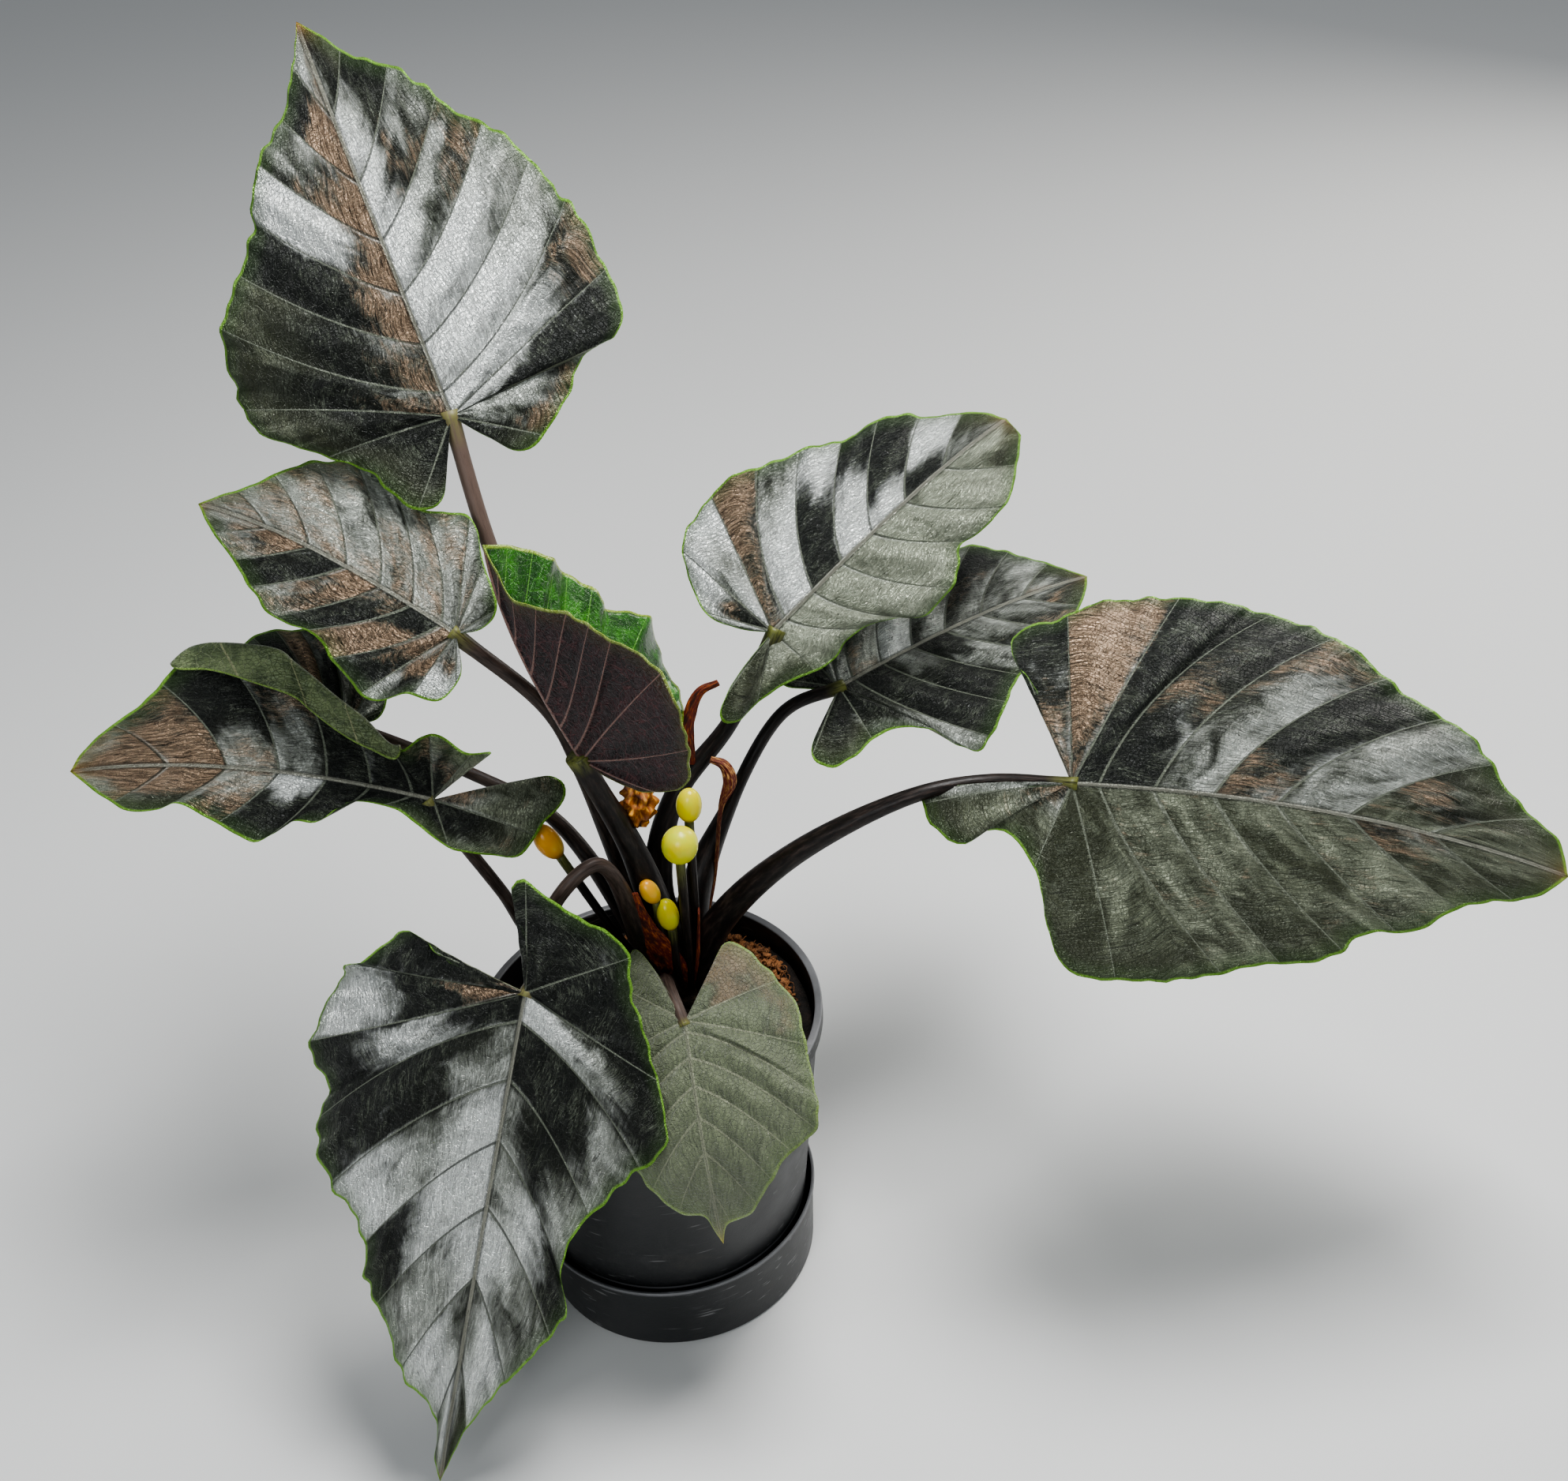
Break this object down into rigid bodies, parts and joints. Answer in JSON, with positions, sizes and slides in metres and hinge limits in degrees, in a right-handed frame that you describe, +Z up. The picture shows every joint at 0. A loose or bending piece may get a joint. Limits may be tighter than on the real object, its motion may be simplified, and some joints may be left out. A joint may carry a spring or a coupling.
{
  "type": "potted alocasia plant",
  "caption": "Potted velvet-leaved alocasia with large quilted heart-shaped leaves on long dark petioles, in a round black nursery pot that stands in a deep saucer.",
  "frame": {"origin": "centre of the saucer's flat underside", "axes": "+Z up, +X to the right seen from the front, +Y to the back, so that the plant's front faces -Y"},
  "size_m": [0.6745, 0.3826, 0.579],
  "materials": {
    "black_plastic": "satin black moulded plastic, scuffed, with a dusty bloom and paler worn edges",
    "potting_mix": "rough dark moist mix of coir, bark chips and fine roots",
    "crown": "dull dark brown short stem ringed by old leaf bases",
    "petiole_dark": "smooth brown-black skin with taupe highlights and green joints",
    "leaf_velvet": "velvety quilted blade with a silver sheen, copper streaks along the veins and a thin green margin",
    "leaf_young": "glossy fresh green upper side and a dark maroon underside with raised pale veins",
    "leaf_old": "dusty grey-olive blade with pale veins, specks and a yellowing tip",
    "spathe_yellow": "smooth waxy yellow",
    "spathe_orange": "smooth waxy orange-yellow",
    "dry_red": "papery dark red withered tissue with pale ridges"
  },
  "bodies": {
    "root": {"crown": "crown", "dry_spathe_1": "dry_red", "dry_spathe_2": "dry_red", "dry_spathe_3": "dry_red", "leaf_1": "leaf_velvet", "leaf_10": "leaf_old", "leaf_2": "leaf_velvet", "leaf_3": "leaf_velvet", "leaf_4": "leaf_velvet", "leaf_5": "leaf_young", "leaf_6": "leaf_velvet", "leaf_7": "leaf_velvet", "leaf_8": "leaf_velvet", "leaf_9": "leaf_velvet", "petiole_1": "petiole_dark", "petiole_10": "petiole_dark", "petiole_2": "petiole_dark", "petiole_3": "petiole_dark", "petiole_4": "petiole_dark", "petiole_5": "petiole_dark", "petiole_6": "petiole_dark", "petiole_7": "petiole_dark", "petiole_8": "petiole_dark", "petiole_9": "petiole_dark", "pot": "black_plastic", "potting_mix": "potting_mix", "saucer": "black_plastic", "sheath_1": "dry_red", "sheath_2": "dry_red", "spathe_1": "spathe_yellow", "spathe_2": "spathe_yellow", "spathe_3": "spathe_orange", "spathe_4": "spathe_yellow", "spathe_5": "spathe_orange", "stalk_1": "petiole_dark", "stalk_2": "petiole_dark", "stalk_3": "petiole_dark", "stalk_4": "petiole_dark", "stalk_5": "petiole_dark"}
  },
  "joints": []
}
